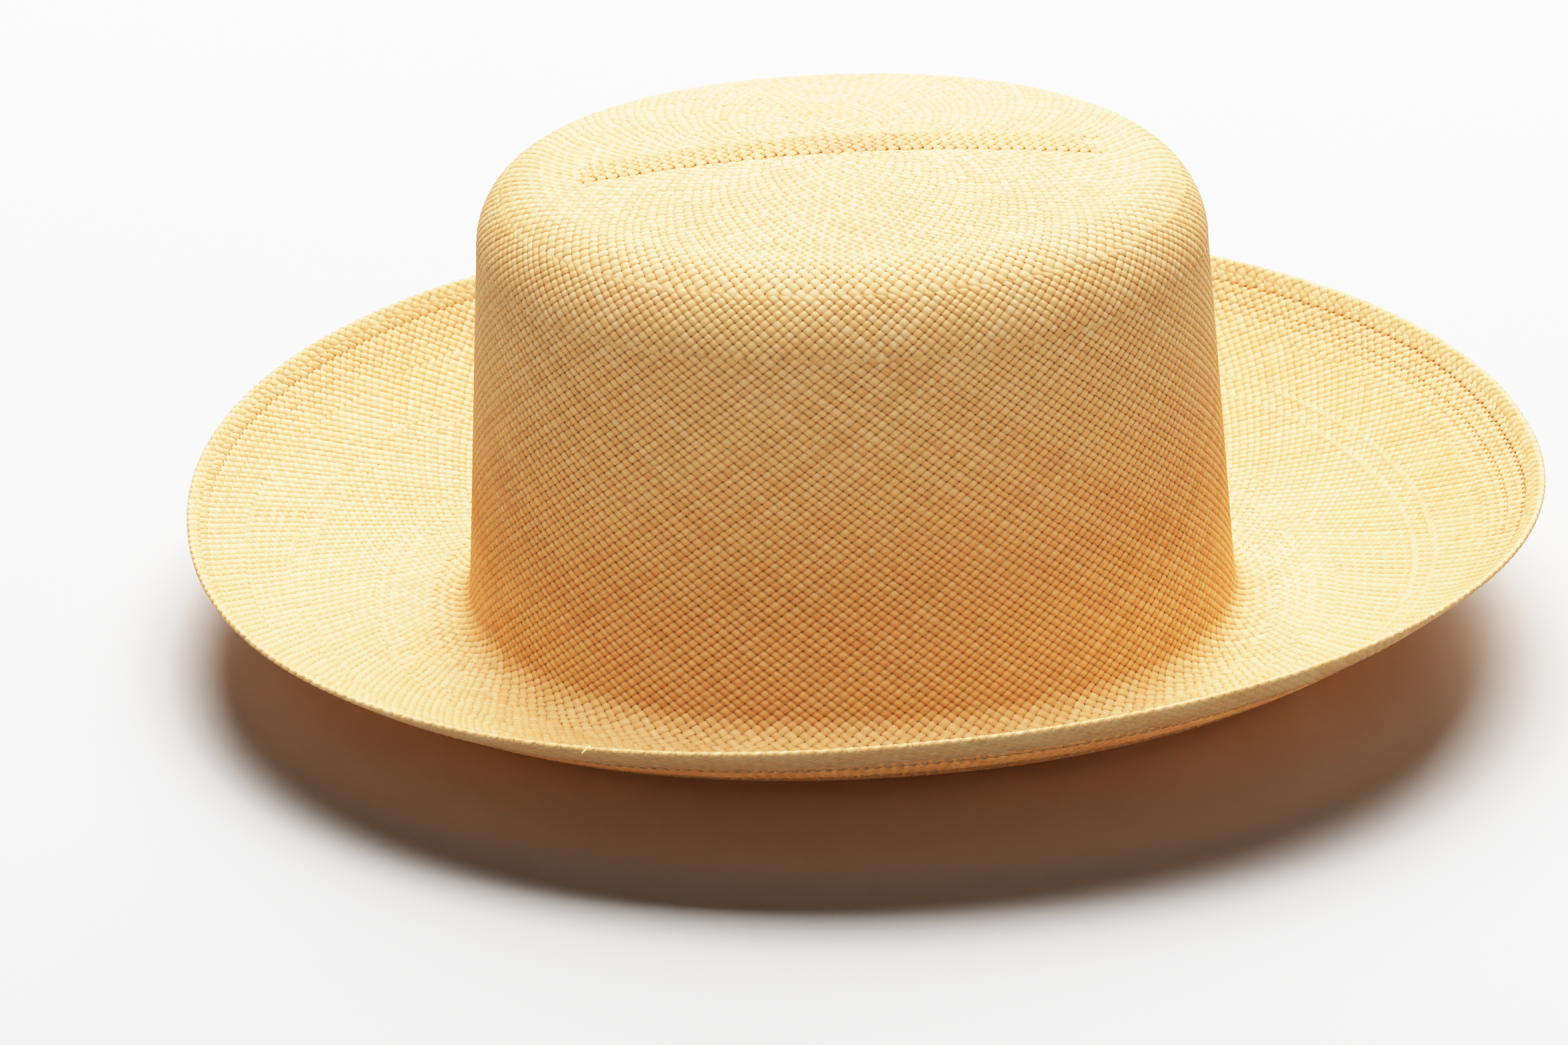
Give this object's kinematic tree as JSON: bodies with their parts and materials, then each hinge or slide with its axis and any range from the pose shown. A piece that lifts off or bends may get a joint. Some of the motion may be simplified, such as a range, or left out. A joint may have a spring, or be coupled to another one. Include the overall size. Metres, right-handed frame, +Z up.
{
  "type": "straw sun hat",
  "caption": "Hand-plaited straw sun hat with a tall oval flat-topped crown, a wide brim turned up all round, a back-woven rim and a leather sweatband inside.",
  "frame": {"origin": "on the floor, under the middle of the brim's outline, where the hat stands crown up on the ring at the foot of its crown", "axes": "+Z up through the crown, +X along the hat's long way towards the front of the head, +Y across it"},
  "size_m": [0.355, 0.321, 0.1295],
  "materials": {
    "straw_crown": "satin",
    "straw_brim": "satin",
    "straw_rim": "satin",
    "band_leather": "satin",
    "reed_cord": "satin",
    "cotton_tape": "matte",
    "cotton_thread": "matte",
    "bow_ribbon": "satin"
  },
  "bodies": {
    "root": {"crown_tip": "straw_crown", "crown_ridge": "straw_crown", "crown_wall": "straw_crown", "brim": "straw_brim", "brim_border": "straw_brim", "rim_braid": "straw_rim", "sweatband": "band_leather", "sweatband_reed": "reed_cord", "reed_tape": "cotton_tape", "sweatband_stitching": "cotton_thread", "joint_tape": "cotton_tape", "joint_zigzag": "cotton_thread", "sweatband_bow": "bow_ribbon"}
  },
  "joints": []
}
